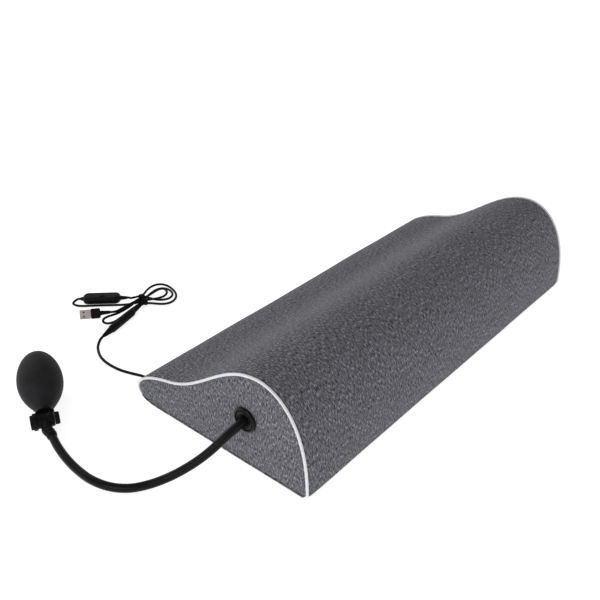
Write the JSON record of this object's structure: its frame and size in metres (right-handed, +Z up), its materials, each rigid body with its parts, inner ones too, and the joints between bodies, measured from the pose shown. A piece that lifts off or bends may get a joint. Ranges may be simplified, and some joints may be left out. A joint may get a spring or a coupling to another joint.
{
  "type": "heated inflatable lumbar support cushion",
  "caption": "Wedge-shaped lumbar cushion with a rounded crest, an inner air bladder worked by a hand pump bulb on a hose, and a heating pad fed by a cord with a controller.",
  "frame": {"origin": "centre of the cushion's flat underside, midway along its length and between the tall face and the nose", "axes": "+X along the cushion's length, away from the hose end; +Y from the tall rounded face towards the thin nose with the zipper; +Z up, out of the flat underside towards the crest"},
  "size_m": [0.6771, 0.4801, 0.1157],
  "materials": {
    "cover_fabric": "matte",
    "piping_fabric": "matte",
    "foam": "matte",
    "bladder_film": "satin",
    "heater_film": "matte",
    "zipper_tape": "matte",
    "zipper_metal": "satin",
    "zipper_plastic": "matte",
    "black_plastic": "satin",
    "black_rubber": "matte",
    "cord_jacket": "satin",
    "plated_metal": "satin",
    "spring_steel": "satin",
    "circuit_board": "gloss"
  },
  "bodies": {
    "cushion": {"cover_main_panel": "cover_fabric", "cover_base_panel": "cover_fabric", "end_panel_left": "cover_fabric", "end_panel_right": "cover_fabric", "piping_left": "piping_fabric", "piping_right": "piping_fabric", "zipper_tape_upper": "zipper_tape", "zipper_tape_lower": "zipper_tape", "zipper_teeth": "zipper_plastic", "zipper_stop_start": "zipper_metal", "zipper_stop_end": "zipper_metal", "foam_base": "foam", "air_bladder": "bladder_film", "bladder_inlet": "black_plastic", "grommet_flange": "black_plastic", "grommet_washer": "black_plastic", "heater_lead": "cord_jacket", "cord_exit_gland": "black_rubber", "air_hose": "cord_jacket", "hose_cuff": "black_plastic", "valve_body": "black_plastic", "valve_spring": "spring_steel", "valve_cap": "black_plastic", "pump_bulb": "black_rubber", "bulb_intake_plug": "black_plastic", "dc_jack": "black_plastic", "dc_jack_pin": "plated_metal", "pigtail_cord": "cord_jacket"},
    "crest": {"foam_crest": "foam", "heating_pad": "heater_film", "thermostat": "black_plastic"},
    "zipper_slider": {"zipper_slider": "zipper_metal"},
    "zipper_pull": {"zipper_pull": "zipper_metal"},
    "valve_button": {"valve_button": "black_plastic"},
    "intake_disc": {"intake_disc": "black_rubber"},
    "usb_cable": {"dc_plug": "black_plastic", "dc_plug_barrel": "plated_metal", "usb_cord_hank": "cord_jacket", "cord_tie": "black_plastic", "controller_bottom": "black_plastic", "controller_top": "black_plastic", "controller_board": "circuit_board", "controller_switch": "plated_metal", "controller_relief_left": "black_rubber", "controller_relief_right": "black_rubber", "usb_cord_return": "cord_jacket", "usb_cord_short": "cord_jacket", "usb_shell": "plated_metal", "usb_tongue": "black_plastic", "usb_overmold": "black_rubber"},
    "controller_button": {"controller_button": "black_plastic"}
  },
  "joints": [
    {"name": "inflation", "type": "slide", "parent": "cushion", "child": "crest", "axis": [0, 0, 1], "range_m": [0, 0.025], "deforming": ["air_bladder", "cover_main_panel", "end_panel_left", "end_panel_right", "piping_left", "piping_right", "heater_lead"]},
    {"name": "zipper_slide", "type": "slide", "parent": "cushion", "child": "zipper_slider", "axis": [1, 0, 0], "range_m": [0, 0.46]},
    {"name": "zipper_pull_swing", "type": "hinge", "parent": "zipper_slider", "child": "zipper_pull", "pos_m": [-0.2274, 0.12757, 0.0108], "axis": [0, 0.3253, 0.9456], "range_deg": [0, 150]},
    {"name": "valve_press", "type": "slide", "parent": "cushion", "child": "valve_button", "axis": [0.8695, -0.4939, 0], "range_m": [0, 0.0025], "stiffness_N_per_m": 800, "springref_m": -0.002, "deforming": ["valve_spring"]},
    {"name": "intake_flap", "type": "slide", "parent": "cushion", "child": "intake_disc", "axis": [-0.484, -0.852, -0.1994], "range_m": [0, 0.0008]},
    {"name": "dc_plug_pull", "type": "slide", "parent": "cushion", "child": "usb_cable", "axis": [0.9613, 0.2756, 0], "range_m": [0, 0.014]},
    {"name": "controller_press", "type": "slide", "parent": "usb_cable", "child": "controller_button", "axis": [0, 0, -1], "range_m": [0, 0.0005], "stiffness_N_per_m": 1500, "springref_m": -0.0004}
  ]
}
